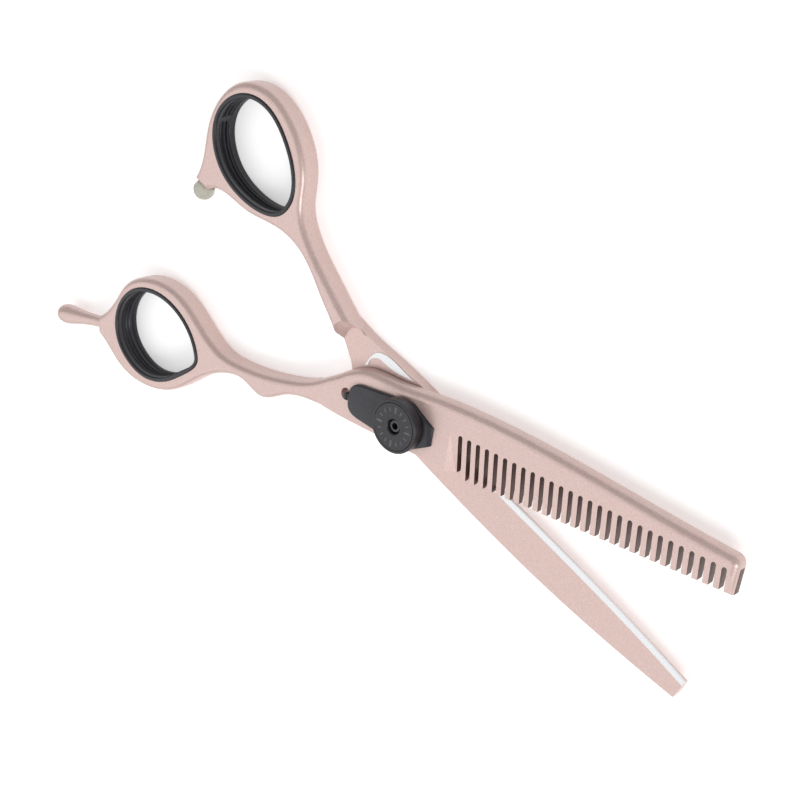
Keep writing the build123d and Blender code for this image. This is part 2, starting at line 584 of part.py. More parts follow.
# ---- the whole shears ------------------------------------------------------------
def build():
    """Every piece by node name."""
    return {
        "toothed_blade_half": toothed_half(),
        "finger_ring_insert": ring_insert(finger_opening()),
        "finger_rest": finger_rest(),
        "pivot_screw": pivot_screw(),
        "head_slide_washer": head_washer(),
        "click_spring_plate": click_spring_plate(),
        "disc_spring": disc_spring(),
        "tension_dial": tension_dial(),
        "plain_blade_half": opened(plain_half()),
        "thumb_ring_insert": opened(ring_insert(thumb_opening())),
        "stop_bumper": opened(bumper()),
        "pivot_bush": opened(pivot_bush()),
        "glide_washer": opened(glide_washer()),
    }


def main():
    """Write one file for each piece."""
    os.makedirs("parts", exist_ok=True)
    for node, shape in build().items():
        export_step(shape, f"parts/{node}.step")
        print(node, len(shape.solids()), round(shape.volume, 2))


if __name__ == "__main__":
    main()
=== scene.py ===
"""Looks of the hair thinning shears: finishes, liners, dial, plate, rest and bumper round the fixed frame."""

import logging
import math
from contextlib import contextmanager
from dataclasses import dataclass, field
from enum import Enum
from typing import Callable, Iterator, Sequence

import bmesh
import bpy
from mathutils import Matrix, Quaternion, Vector


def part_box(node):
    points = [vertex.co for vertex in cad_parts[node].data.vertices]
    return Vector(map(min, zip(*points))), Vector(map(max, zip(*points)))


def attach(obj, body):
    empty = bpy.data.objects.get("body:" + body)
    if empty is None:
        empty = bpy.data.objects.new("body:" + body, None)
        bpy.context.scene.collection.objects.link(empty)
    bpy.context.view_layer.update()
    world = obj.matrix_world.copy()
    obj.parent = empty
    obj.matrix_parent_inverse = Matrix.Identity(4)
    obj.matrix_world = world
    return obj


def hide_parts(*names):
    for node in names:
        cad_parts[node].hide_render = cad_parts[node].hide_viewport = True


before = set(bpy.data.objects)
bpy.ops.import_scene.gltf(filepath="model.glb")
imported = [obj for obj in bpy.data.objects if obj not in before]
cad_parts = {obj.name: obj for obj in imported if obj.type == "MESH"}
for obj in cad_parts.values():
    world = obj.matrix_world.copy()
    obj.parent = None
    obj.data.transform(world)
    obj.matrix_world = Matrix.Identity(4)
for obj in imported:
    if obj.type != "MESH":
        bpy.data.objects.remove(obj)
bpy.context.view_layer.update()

MM = 0.001
FULL_TURN = 2 * math.pi
LOG = logging.getLogger("shears")

OPENING = math.radians(-21.5)     # the plain blade's direction at rest, from the toothed blade's
INNER_FACE = 2.9 * MM             # height of the plain half's lands

WELD = 0.0005 * MM                # vertices nearer than this are merged
LEVEL_REACH = 0.01 * MM           # how near a vertex lies to a level that it is on

Point = tuple[float, float, float]
Colour = tuple[float, float, float]
Socket = bpy.types.NodeSocket


class Body(Enum):
    """The bodies that the pieces ride on."""

    TOOTHED = "toothed_side"
    PLAIN = "plain_side"
    DIAL = "dial"


class Slot(Enum):
    """The record's material slots."""

    PAINT = "satin_paint"
    REST_PAINT = "rest_paint"
    RUBBER = "black_rubber"
    PLATE = "black_plate"
    DIAL = "black_dial"
    SCREW = "black_screw"
    SPRING = "spring_steel"
    BRONZE = "bush_bronze"
    SLIDE = "slide_plastic"
    SILICONE = "clear_silicone"


# ---- node materials ----------------------------------------------------------------


class Shader:
    """A node material that is put together from named steps."""

    def __init__(self, name: str) -> None:
        """Start a material with a Principled shader.

        Args:
            name: The material's name.
        """
        self.material = bpy.data.materials.new(name)
        self.material.use_nodes = True
        self.tree = self.material.node_tree
        self.tree.nodes.clear()
        self.surface = self.add("ShaderNodeBsdfPrincipled")
        output = self.add("ShaderNodeOutputMaterial")
        self.link(self.surface.outputs["BSDF"], output.inputs["Surface"])
        self.place = self.add("ShaderNodeTexCoord").outputs["Object"]

    def add(self, kind: str, **settings: object) -> bpy.types.Node:
        """Add a node and set its properties.

        Args:
            kind: The node's type.
            **settings: Properties of the node.

        Returns:
            The new node.
        """
        node = self.tree.nodes.new(kind)
        for name, value in settings.items():
            setattr(node, name, value)
        return node

    def link(self, source: Socket, target: Socket) -> None:
        """Join two sockets."""
        self.tree.links.new(source, target)

    def set(self, **values: object) -> None:
        """Set constants on the Principled shader; underscores stand for spaces in a socket's name."""
        for name, value in values.items():
            self.surface.inputs[name.replace("_", " ")].default_value = value

    def noise(self, grain: float, detail: float = 2.0, roughness: float = 0.5) -> Socket:
        """Noise in object space.

        Args:
            grain: Size of a grain in metres.
            detail: How many finer layers it has.
            roughness: How strong those are.

        Returns:
            The noise's value socket.
        """
        node = self.add("ShaderNodeTexNoise")
        node.inputs["Scale"].default_value = 1.0 / grain
        node.inputs["Detail"].default_value = detail
        node.inputs["Roughness"].default_value = roughness
        self.link(self.place, node.inputs["Vector"])
        return node.outputs["Fac"]

    def flakes(self, size: float) -> Socket:
        """A random value for each small cell, as in a metallic paint.

        Args:
            size: Size of a flake in metres.

        Returns:
            The random value socket.
        """
        node = self.add("ShaderNodeTexVoronoi", feature="F1")
        node.inputs["Scale"].default_value = 1.0 / size
        self.link(self.place, node.inputs["Vector"])
        split = self.add("ShaderNodeSeparateColor")
        self.link(node.outputs["Color"], split.inputs["Color"])
        return split.outputs["Red"]

    def ramp(self, value: Socket, *stops: tuple[float, Sequence[float]]) -> Socket:
        """A colour that follows a value.

        Args:
            value: The value from 0 to 1.
            *stops: Places and colours.

        Returns:
            The colour socket.
        """
        node = self.add("ShaderNodeValToRGB")
        node.color_ramp.elements[0].position = stops[0][0]
        node.color_ramp.elements[1].position = stops[-1][0]
        for place, _ in stops[1:-1]:
            node.color_ramp.elements.new(place)
        for element, (_, colour) in zip(node.color_ramp.elements, stops):
            element.color = (*colour, 1.0)
        self.link(value, node.inputs["Fac"])
        return node.outputs["Color"]

    def spread(self, value: Socket, low: float, high: float, start: float = 0.0,
               end: float = 1.0) -> Socket:
        """Map a value's range onto another.

        Args:
            value: The value to map.
            low: Result at the start.
            high: Result at the end.
            start: Start of the value's range.
            end: End of the value's range.

        Returns:
            The mapped value's socket.
        """
        node = self.add("ShaderNodeMapRange")
        self.link(value, node.inputs["Value"])
        node.inputs["From Min"].default_value = start
        node.inputs["From Max"].default_value = end
        node.inputs["To Min"].default_value = low
        node.inputs["To Max"].default_value = high
        return node.outputs["Result"]

    def math(self, operation: str, first: object, second: object = 0.0) -> Socket:
        """The result of an operation on two values, each a socket or a number."""
        node = self.add("ShaderNodeMath", operation=operation)
        for socket, value in zip(node.inputs, (first, second)):
            if isinstance(value, Socket):
                self.link(value, socket)
            else:
                socket.default_value = value
        return node.outputs["Value"]

    def dot(self, vector: Socket, direction: Sequence[float]) -> Socket:
        """A vector's length along a direction."""
        node = self.add("ShaderNodeVectorMath", operation="DOT_PRODUCT")
        self.link(vector, node.inputs[0])
        node.inputs[1].default_value = direction
        return node.outputs["Value"]

    def compare(self, value: Socket, target: float, reach: float) -> Socket:
        """1 where a value lies within reach of a target."""
        away = self.math("ABSOLUTE", self.math("SUBTRACT", value, target))
        return self.math("LESS_THAN", away, reach)

    def mix(self, share: Socket, first: object, second: object) -> Socket:
        """Mix two colours, each a socket or three numbers.

        Args:
            share: How much of the second.
            first: The first colour.
            second: The second colour.

        Returns:
            The mixed colour's socket.
        """
        node = self.add("ShaderNodeMix", data_type="RGBA")
        self.link(share, node.inputs["Factor"])
        for socket, value in ((node.inputs[6], first), (node.inputs[7], second)):
            if isinstance(value, Socket):
                self.link(value, socket)
            else:
                socket.default_value = (*value, 1.0)
        return node.outputs[2]

    def bump(self, height: Socket, distance: float, strength: float = 1.0) -> None:
        """Raise the surface's normal by a height.

        Args:
            height: The height from 0 to 1.
            distance: Depth of that range in metres.
            strength: How much of it shows.
        """
        node = self.add("ShaderNodeBump")
        node.inputs["Distance"].default_value = distance
        node.inputs["Strength"].default_value = strength
        self.link(height, node.inputs["Height"])
        self.link(node.outputs["Normal"], self.surface.inputs["Normal"])


class Finish:
    """A surface finish that is built as a node material."""

    def build(self, name: str) -> bpy.types.Material:
        """The finish as a material."""
        raise NotImplementedError


@dataclass(frozen=True)
class SatinPaint(Finish):
    """Rose-gold satin paint with a fine metallic grain."""

    colour: Colour = (0.685, 0.505, 0.465)
    light: Colour = (0.79, 0.615, 0.585)
    dark: Colour = (0.575, 0.41, 0.372)
    grain: float = 0.16 * MM
    flake: float = 0.09 * MM

    def build(self, name: str) -> bpy.types.Material:
        """The finish as a material."""
        shader = Shader(name)
        shader.set(Metallic=0.35, IOR=1.5)
        grain = shader.noise(self.grain, 3.0, 0.6)
        flakes = shader.flakes(self.flake)
        blend = shader.math("ADD", shader.math("MULTIPLY", grain, 0.6), shader.math("MULTIPLY", flakes, 0.4))
        paint = shader.ramp(blend, (0.22, self.dark), (0.5, self.colour), (0.8, self.light))
        rough = shader.spread(flakes, 0.30, 0.42)
        paint, rough = self.patches(shader, paint, rough)
        shader.link(paint, shader.surface.inputs["Base Color"])
        shader.link(rough, shader.surface.inputs["Roughness"])
        shader.bump(blend, 0.004 * MM, 0.5)
        return shader.material

    def patches(self, shader: Shader, paint: Socket, rough: Socket) -> tuple[Socket, Socket]:
        """Where the finish differs from plain paint: nowhere here."""
        return paint, rough


@dataclass(frozen=True)
class PlainHalfPaint(SatinPaint):
    """Paint whose lands on the inner face, and the cutting edge's side, are ground bare."""

    steel: Colour = (0.74, 0.75, 0.77)
    edge_start: float = 9.0 * MM
    edge_depth: float = 0.4 * MM
    facing: float = 0.98

    def patches(self, shader: Shader, paint: Socket, rough: Socket) -> tuple[Socket, Socket]:
        """Bare ground steel on the lands and along the cutting edge.

        Args:
            shader: The material's shader.
            paint: The paint's colour.
            rough: The paint's roughness.

        Returns:
            The colour and the roughness with the bare patches.
        """
        along = (math.cos(OPENING), math.sin(OPENING), 0.0)
        across = (-math.sin(OPENING), math.cos(OPENING), 0.0)
        normal = shader.add("ShaderNodeNewGeometry").outputs["Normal"]
        height = shader.dot(shader.place, (0.0, 0.0, 1.0))
        level = shader.compare(height, INNER_FACE, 0.03 * MM)
        flat = shader.math("GREATER_THAN", shader.dot(normal, (0.0, 0.0, 1.0)), self.facing)
        land = shader.math("MULTIPLY", level, flat)
        edge = shader.math("GREATER_THAN", shader.dot(normal, across), 0.5)
        beyond = shader.math("GREATER_THAN", shader.dot(shader.place, along), self.edge_start)
        edge = shader.math("MULTIPLY", edge, beyond)
        near = shader.math("GREATER_THAN", height, INNER_FACE - self.edge_depth)
        edge = shader.math("MULTIPLY", edge, near)
        bare = shader.math("MAXIMUM", land, edge)
        lay = shader.noise(0.08 * MM, 2.0, 0.6)
        steel = shader.mix(lay, self.steel, tuple(0.86 * part for part in self.steel))
        paint = shader.mix(bare, paint, steel)
        rough = shader.math("SUBTRACT", rough, shader.math("MULTIPLY", bare, 0.06))
        metallic = shader.math("ADD", 0.35, shader.math("MULTIPLY", bare, 0.45))
        shader.link(metallic, shader.surface.inputs["Metallic"])
        return paint, rough


@dataclass(frozen=True)
class ToothedHalfPaint(SatinPaint):
    """Paint with painted shade, a dark brown, on the cut sides of the slots between the teeth."""

    # painted shade: dark brown that stands in for the shade inside the narrow slots
    slot_painted_shade: Colour = (0.115, 0.058, 0.046)
    slot_start: float = 12.0 * MM
    slot_top: float = 3.2 * MM

    def patches(self, shader: Shader, paint: Socket, rough: Socket) -> tuple[Socket, Socket]:
        """Painted shade on the slots' sides and roots.

        Args:
            shader: The material's shader.
            paint: The paint's colour.
            rough: The paint's roughness.

        Returns:
            The colour and the roughness with the painted shade in the slots.
        """
        normal = shader.add("ShaderNodeNewGeometry").outputs["Normal"]
        steep = shader.math("LESS_THAN", shader.math("ABSOLUTE", shader.dot(normal, (0.0, 0.0, 1.0))), 0.3)
        beyond = shader.math("GREATER_THAN", shader.dot(shader.place, (1.0, 0.0, 0.0)), self.slot_start)
        below = shader.math("LESS_THAN", shader.dot(shader.place, (0.0, 1.0, 0.0)), self.slot_top)
        inside = shader.math("MULTIPLY", steep, shader.math("MULTIPLY", beyond, below))
        # painted shade: the steep faces of the slot region take the dark brown in place of the paint
        return shader.mix(inside, paint, self.slot_painted_shade), rough


@dataclass(frozen=True)
class MouldedRubber(Finish):
    """Black semi-gloss rubber with a faint mottle."""

    dark: Colour = (0.010, 0.010, 0.014)
    light: Colour = (0.020, 0.020, 0.027)

    def build(self, name: str) -> bpy.types.Material:
        """The finish as a material."""
        shader = Shader(name)
        shader.set(IOR=1.5)
        mottle = shader.noise(0.8 * MM, 4.0, 0.6)
        colour = shader.ramp(mottle, (0.3, self.dark), (0.7, self.light))
        shader.link(colour, shader.surface.inputs["Base Color"])
        shader.link(shader.spread(mottle, 0.30, 0.40, 0.3, 0.7), shader.surface.inputs["Roughness"])
        shader.bump(shader.noise(0.12 * MM), 0.003 * MM, 0.4)
        return shader.material


@dataclass(frozen=True)
class BlackCoating(Finish):
    """Black satin coating over steel, with a fine speckle."""

    dark: Colour
    light: Colour
    metallic: float
    smooth: float
    rough: float
    speckle: float = 0.1 * MM

    def build(self, name: str) -> bpy.types.Material:
        """The finish as a material."""
        shader = Shader(name)
        shader.set(Metallic=self.metallic, IOR=1.5)
        speckle = shader.flakes(self.speckle)
        colour = shader.ramp(speckle, (0.1, self.dark), (0.9, self.light))
        shader.link(colour, shader.surface.inputs["Base Color"])
        shader.link(shader.spread(speckle, self.smooth, self.rough), shader.surface.inputs["Roughness"])
        shader.bump(shader.noise(self.speckle), 0.003 * MM, 0.4)
        return shader.material


@dataclass(frozen=True)
class BareMetal(Finish):
    """Bare metal with fine lay lines from turning or grinding."""

    colour: Colour
    shade: Colour
    rough: float = 0.3
    rough_spread: float = 0.06

    def build(self, name: str) -> bpy.types.Material:
        """The finish as a material."""
        shader = Shader(name)
        shader.set(Metallic=1.0)
        lines = shader.noise(0.15 * MM, 3.0, 0.6)
        colour = shader.ramp(lines, (0.3, self.shade), (0.7, self.colour))
        shader.link(colour, shader.surface.inputs["Base Color"])
        rough = shader.spread(lines, self.rough - self.rough_spread, self.rough + self.rough_spread)
        shader.link(rough, shader.surface.inputs["Roughness"])
        return shader.material


@dataclass(frozen=True)
class SlidePlastic(Finish):
    """White low-friction plastic."""

    def build(self, name: str) -> bpy.types.Material:
        """The finish as a material."""
        shader = Shader(name)
        mottle = shader.noise(0.5 * MM)
        colour = shader.ramp(mottle, (0.3, (0.78, 0.77, 0.74)), (0.7, (0.84, 0.83, 0.80)))
        shader.link(colour, shader.surface.inputs["Base Color"])
        shader.link(shader.spread(mottle, 0.4, 0.5), shader.surface.inputs["Roughness"])
        return shader.material


@dataclass(frozen=True)
class ClearSilicone(Finish):
    """Translucent, faintly yellow silicone."""

    def build(self, name: str) -> bpy.types.Material:
        """The finish as a material."""
        shader = Shader(name)
        shader.set(Transmission_Weight=0.55, IOR=1.41)
        cloud = shader.noise(1.2 * MM, 3.0, 0.6)
        colour = shader.ramp(cloud, (0.3, (0.56, 0.54, 0.46)), (0.7, (0.68, 0.66, 0.58)))
        shader.link(colour, shader.surface.inputs["Base Color"])
        shader.link(shader.spread(cloud, 0.12, 0.2), shader.surface.inputs["Roughness"])
        return shader.material


# ---- modelling by hand -------------------------------------------------------------


def clear_selection() -> None:
    """Leave object mode with nothing selected."""
    if bpy.context.object and bpy.context.object.mode != "OBJECT":
        bpy.ops.object.mode_set(mode="OBJECT")
    bpy.ops.object.select_all(action="DESELECT")


def take(piece: bpy.types.Object) -> None:
    """Make one piece the only selected and active one."""
    clear_selection()
    piece.select_set(True)
    bpy.context.view_layer.objects.active = piece


@contextmanager
def editing(piece: bpy.types.Object) -> Iterator[None]:
    """Edit a piece's mesh, with nothing selected at first.

    Args:
        piece: The piece to edit.
    """
    take(piece)
    bpy.ops.object.mode_set(mode="EDIT")
    bpy.ops.mesh.select_mode(type="FACE")
    bpy.ops.mesh.select_all(action="DESELECT")
    yield
    bpy.ops.object.mode_set(mode="OBJECT")


def pick(piece: bpy.types.Object, kind: str, test: Callable[[object], bool]) -> int:
    """Select only the elements of a piece in edit mode that pass a test.

    Args:
        piece: The piece in edit mode.
        kind: VERT, EDGE or FACE.
        test: Says whether an element is picked.

    Returns:
        How many were picked.
    """
    bpy.ops.mesh.select_mode(type=kind)
    bpy.ops.mesh.select_all(action="DESELECT")
    mesh = bmesh.from_edit_mesh(piece.data)
    elements = {"VERT": mesh.verts, "EDGE": mesh.edges, "FACE": mesh.faces}[kind]
    count = 0
    for element in elements:
        if test(element):
            element.select_set(True)
            count += 1
    mesh.select_flush_mode()
    bmesh.update_edit_mesh(piece.data)
    return count


def face_level(level: float, reach: float, up: bool) -> Callable[[object], bool]:
    """A test for flat faces at a height, about the pivot axis.

    Args:
        level: The faces' height.
        reach: The middle of a face is at most this far from the axis.
        up: Whether the faces look up.

    Returns:
        The test.
    """
    def test(face: object) -> bool:
        middle = face.calc_center_median()
        facing = face.normal.z > 0.9 if up else face.normal.z < -0.9
        return facing and abs(middle.z - level) < LEVEL_REACH and middle.xy.length < reach
    return test


def finish_piece(piece: bpy.types.Object, name: str, material: bpy.types.Material,
                 angle: float = 35.0) -> None:
    """Name, clean, smooth and dress a modelled piece.

    Args:
        piece: The modelled piece.
        name: Its name.
        material: Its finish.
        angle: Edges sharper than this stay sharp, in degrees.
    """
    with editing(piece):
        bpy.ops.mesh.select_all(action="SELECT")
        bpy.ops.mesh.remove_doubles(threshold=WELD)
        bpy.ops.mesh.normals_make_consistent(inside=False)
    take(piece)
    bpy.ops.object.transform_apply(location=True, rotation=True, scale=True)
    bpy.ops.object.shade_smooth_by_angle(angle=math.radians(angle))
    piece.name = name
    piece.data.materials.clear()
    piece.data.materials.append(material)
    LOG.info("%s: %d faces", name, len(piece.data.polygons))


def copy_node(node: str) -> bpy.types.Object:
    """A separate copy of a CAD node, merged into one closed skin.

    Args:
        node: The node's name.

    Returns:
        The copy.
    """
    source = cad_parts[node]
    piece = bpy.data.objects.new(node + "_copy", source.data.copy())
    bpy.context.scene.collection.objects.link(piece)
    with editing(piece):
        bpy.ops.mesh.select_all(action="SELECT")
        bpy.ops.mesh.remove_doubles(threshold=WELD)
        bpy.ops.mesh.customdata_custom_splitnormals_clear()
        bpy.ops.mesh.normals_make_consistent(inside=False)
    return piece


def turned_piece(seat: Point, heading: float, stations: Sequence[tuple[float, float]],
                 sides: int = 64) -> bpy.types.Object:
    """A round piece drawn out from its seat, ring by ring.

    Args:
        seat: Middle of its foot.
        heading: Direction of its axis about Z.
        stations: Distance from the foot and radius of each ring.
        sides: Faces round the piece.

    Returns:
        The piece, open where its last ring closes to a point.
    """
    axis = Vector((math.cos(heading), math.sin(heading), 0.0))
    start, radius = stations[0]
    place = Vector(seat) + axis * start
    clear_selection()
    bpy.ops.mesh.primitive_circle_add(vertices=sides, radius=radius, fill_type="NGON", location=place,
                                      rotation=(0.0, math.pi / 2, heading))
    piece = bpy.context.object
    take(piece)
    bpy.ops.object.transform_apply(location=True, rotation=True, scale=True)
    with editing(piece):
        bpy.ops.mesh.select_all(action="SELECT")
        for (before, old), (after, new) in zip(stations, stations[1:]):
            step = axis * (after - before)
            bpy.ops.mesh.extrude_region_move(TRANSFORM_OT_translate={"value": tuple(step)})
            ratio = new / old
            centre = Vector(seat) + axis * after
            bpy.ops.transform.resize(value=(ratio, ratio, ratio), center_override=tuple(centre))
    return piece


def eased(knots: Sequence[tuple[float, float]], steps: int) -> list[tuple[float, float]]:
    """Rings along a smooth curve through a few knots.

    Args:
        knots: Distance and radius at each knot.
        steps: Rings from one knot to the next.

    Returns:
        Distance and radius of every ring.
    """
    rings = []
    for number in range(len(knots) - 1):
        before = knots[max(number - 1, 0)]
        first, second = knots[number], knots[number + 1]
        after = knots[min(number + 2, len(knots) - 1)]
        for step in range(steps):
            t = step / steps
            ring = []
            for axis in range(2):
                bend = 2 * before[axis] - 5 * first[axis] + 4 * second[axis] - after[axis]
                twist = 3 * first[axis] - before[axis] - 3 * second[axis] + after[axis]
                slope = second[axis] - before[axis]
                ring.append(0.5 * (2 * first[axis] + slope * t + bend * t * t + twist * t ** 3))
            rings.append((ring[0], ring[1]))
    rings.append(knots[-1])
    return rings


def dress(node: str, material: bpy.types.Material) -> None:
    """Give a CAD node's surface a finish."""
    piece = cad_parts[node]
    for slot in piece.material_slots:
        slot.material = material
    LOG.info("%s: dressed", node)


# ---- sub-assemblies ----------------------------------------------------------------


@dataclass
class Halves:
    """The two steel halves, which keep their exact machined shapes."""

    toothed: ToothedHalfPaint = ToothedHalfPaint()
    plain: PlainHalfPaint = PlainHalfPaint()

    def build(self) -> None:
        """Dress both halves."""
        # the toothed half's paint holds painted shade on the slots' sides
        dress("toothed_blade_half", self.toothed.build("rose_gold_paint"))
        dress("plain_blade_half", self.plain.build("rose_gold_paint_and_ground_lands"))


@dataclass
class RingLiner:
    """A rubber liner whose lips stand out of both ring faces, with the wall drawn back between them."""

    node: str
    body: Body
    lip: float = 0.95 * MM
    draw_back: float = 0.3 * MM
    levels: int = 16

    def build(self, material: bpy.types.Material) -> bpy.types.Object:
        """Model the liner from a copy of its node.

        Args:
            material: The rubber.

        Returns:
            The liner.
        """
        low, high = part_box(self.node)
        piece = copy_node(self.node)
        self.cut_levels(piece, low[2], high[2])
        self.draw_wall(piece, low, high)
        finish_piece(piece, self.node.replace("insert", "liner"), material, 50.0)
        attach(piece, self.body.value)
        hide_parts(self.node)
        return piece

    def cut_levels(self, piece: bpy.types.Object, low: float, high: float) -> None:
        """Cut the wall into level bands.

        Args:
            piece: The liner.
            low: Its lowest level.
            high: Its highest level.
        """
        start, end = low + 0.5 * self.lip, high - 0.5 * self.lip
        with editing(piece):
            for number in range(self.levels + 1):
                level = start + (end - start) * number / self.levels
                bpy.ops.mesh.select_all(action="SELECT")
                bpy.ops.mesh.bisect(plane_co=(0.0, 0.0, level), plane_no=(0.0, 0.0, 1.0))

    def draw_wall(self, piece: bpy.types.Object, low: Sequence[float], high: Sequence[float]) -> None:
        """Move the inner wall back between the lips, most in the middle.

        Args:
            piece: The liner.
            low: Low corner of its box.
            high: High corner of its box.
        """
        middle = Vector(((low[0] + high[0]) / 2, (low[1] + high[1]) / 2))
        start, end = low[2] + 0.5 * self.lip, high[2] - 0.5 * self.lip
        with editing(piece):
            for number in range(1, self.levels):
                level = start + (end - start) * number / self.levels
                share = math.sin(math.pi * number / self.levels)

                def on_wall(vertex: object) -> bool:
                    inwards = (vertex.co.xy - middle).dot(vertex.normal.xy) < 0
                    return abs(vertex.co.z - level) < LEVEL_REACH and inwards
                pick(piece, "VERT", on_wall)
                bpy.ops.transform.shrink_fatten(value=-self.draw_back * share)


@dataclass
class TensionDial:
    """Serrated dial with a grooved face, a chamfered hole and a ring of plain marks."""

    radius: float = 5.2 * MM
    top_drop: float = 0.03 * MM
    serrations: int = 54
    serration_depth: float = 0.32 * MM
    edge_round: float = 0.2 * MM
    rim: float = 0.5 * MM
    groove: float = 0.14 * MM
    groove_depth: float = 0.12 * MM
    groove_slope: float = 0.02 * MM
    hole: float = 1.62 * MM
    hole_depth: float = 0.9 * MM
    bore: float = 1.42 * MM
    recess: float = 3.7 * MM
    recess_depth: float = 0.6 * MM
    band_margin: float = 0.32 * MM
    marks: int = 16
    mark_radius: float = 3.35 * MM
    base: float = field(init=False, default=0.0)
    face: float = field(init=False, default=0.0)

    def build(self, coating: bpy.types.Material, ink: bpy.types.Material) -> None:
        """Model the dial and its marks.

        Args:
            coating: The dial's finish.
            ink: The marks' finish.
        """
        low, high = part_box("tension_dial")
        self.base, self.face = low[2], high[2] - self.top_drop
        dial = self.knurled_blank()
        self.shape_top(dial)
        self.shape_underside(dial)
        finish_piece(dial, "dial_knob", coating, 28.0)
        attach(dial, Body.DIAL.value)
        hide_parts("tension_dial")
        marks = self.face_marks(ink)
        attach(marks, Body.DIAL.value)

    def knurled_blank(self) -> bpy.types.Object:
        """A disc with plain edges and a serrated band round its side."""
        clear_selection()
        middle = (self.base + self.face) / 2
        bpy.ops.mesh.primitive_cylinder_add(vertices=4 * self.serrations, radius=self.radius,
                                            depth=self.face - self.base, location=(0.0, 0.0, middle))
        piece = bpy.context.object
        take(piece)
        bpy.ops.object.transform_apply(location=True, rotation=True, scale=True)
        with editing(piece):
            for margin in (self.band_margin, self.band_margin * 1.3):
                for level in (self.base + margin, self.face - margin):
                    bpy.ops.mesh.select_all(action="SELECT")
                    bpy.ops.mesh.bisect(plane_co=(0.0, 0.0, level), plane_no=(0.0, 0.0, 1.0))
            step = FULL_TURN / (4 * self.serrations)

            def in_groove(vertex: object) -> bool:
                turn = round(math.atan2(vertex.co.x, vertex.co.y) / step) % 4
                band = self.base + self.band_margin * 1.2 < vertex.co.z < self.face - self.band_margin * 1.2
                return band and turn == 0
            pick(piece, "VERT", in_groove)
            ratio = 1 - self.serration_depth / self.radius
            bpy.ops.transform.resize(value=(ratio, ratio, 1.0), center_override=(0.0, 0.0, 0.0))
        return piece

    def shape_top(self, piece: bpy.types.Object) -> None:
        """Round the rim, cut the groove and sink the hole.

        Args:
            piece: The dial.
        """
        with editing(piece):
            for level in (self.base, self.face):
                pick(piece, "EDGE", lambda edge: all(abs(v.co.z - level) < LEVEL_REACH for v in edge.verts))
                bpy.ops.mesh.bevel(offset=self.edge_round, segments=3, affect="EDGES")
            pick(piece, "FACE", face_level(self.face, 0.1 * MM, True))
            bpy.ops.mesh.inset(thickness=self.rim - self.edge_round)
            bpy.ops.mesh.inset(thickness=self.groove, depth=-self.groove_depth)
            bpy.ops.mesh.inset(thickness=self.groove_slope, depth=self.groove_depth)
            inner = self.radius - self.rim - self.groove - self.groove_slope
            bpy.ops.mesh.inset(thickness=inner - self.hole)
            bpy.ops.mesh.inset(thickness=self.hole - self.bore, depth=-0.16 * MM)
            bpy.ops.mesh.extrude_region_move(TRANSFORM_OT_translate={"value": (0.0, 0.0, -self.hole_depth)})

    def shape_underside(self, piece: bpy.types.Object) -> None:
        """Sink the spring's recess from below and open the bore through.

        Args:
            piece: The dial.
        """
        with editing(piece):
            pick(piece, "FACE", face_level(self.base, 0.1 * MM, False))
            bpy.ops.mesh.inset(thickness=self.radius - self.edge_round - self.recess)
            bpy.ops.mesh.extrude_region_move(TRANSFORM_OT_translate={"value": (0.0, 0.0, self.recess_depth)})
            bpy.ops.mesh.inset(thickness=self.recess - self.bore)

            def bore_end(face: object) -> bool:
                return len(face.verts) == 4 * self.serrations
            pick(piece, "FACE", bore_end)
            bpy.ops.mesh.bridge_edge_loops()

    def face_marks(self, ink: bpy.types.Material) -> bpy.types.Object:
        """A ring of plain marks laid into the face, a longer one at each quarter.

        Args:
            ink: Their finish.

        Returns:
            The marks as one piece.
        """
        marks = []
        for number in range(self.marks):
            turn = FULL_TURN * number / self.marks
            long = number % (self.marks // 4) == 0
            length, width = (1.3 * MM, 0.4 * MM) if long else (0.85 * MM, 0.26 * MM)
            clear_selection()
            place = (self.mark_radius * math.cos(turn), self.mark_radius * math.sin(turn), self.face)
            bpy.ops.mesh.primitive_cube_add(size=1.0, location=place, rotation=(0.0, 0.0, turn),
                                            scale=(length, width, 0.04 * MM))
            mark = bpy.context.object
            take(mark)
            bpy.ops.object.transform_apply(location=True, rotation=True, scale=True)
            with editing(mark):
                pick(mark, "EDGE", lambda edge: abs(edge.verts[0].co.z - edge.verts[1].co.z) > 0.03 * MM)
                bpy.ops.mesh.bevel(offset=0.4 * width, segments=3, affect="EDGES")
            marks.append(mark)
        take(marks[0])
        for mark in marks:
            mark.select_set(True)
        bpy.ops.object.join()
        piece = bpy.context.object
        finish_piece(piece, "dial_marks", ink)
        return piece


@dataclass
class ClickPlate:
    """Spring plate with softened edges that catch the light."""

    bevel: float = 0.09 * MM

    def build(self, material: bpy.types.Material) -> None:
        """Model the plate from a copy of its node.

        Args:
            material: The plate's finish.
        """
        piece = copy_node("click_spring_plate")
        with editing(piece):
            bpy.ops.mesh.select_all(action="SELECT")
            bpy.ops.mesh.dissolve_limited(angle_limit=math.radians(1.0))
        take(piece)
        modifier = piece.modifiers.new("edges", "BEVEL")
        modifier.width = self.bevel
        modifier.segments = 2
        modifier.limit_method = "ANGLE"
        modifier.angle_limit = math.radians(25.0)
        bpy.ops.object.modifier_apply(modifier=modifier.name)
        finish_piece(piece, "click_plate", material, 40.0)
        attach(piece, Body.TOOTHED.value)
        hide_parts("click_spring_plate")


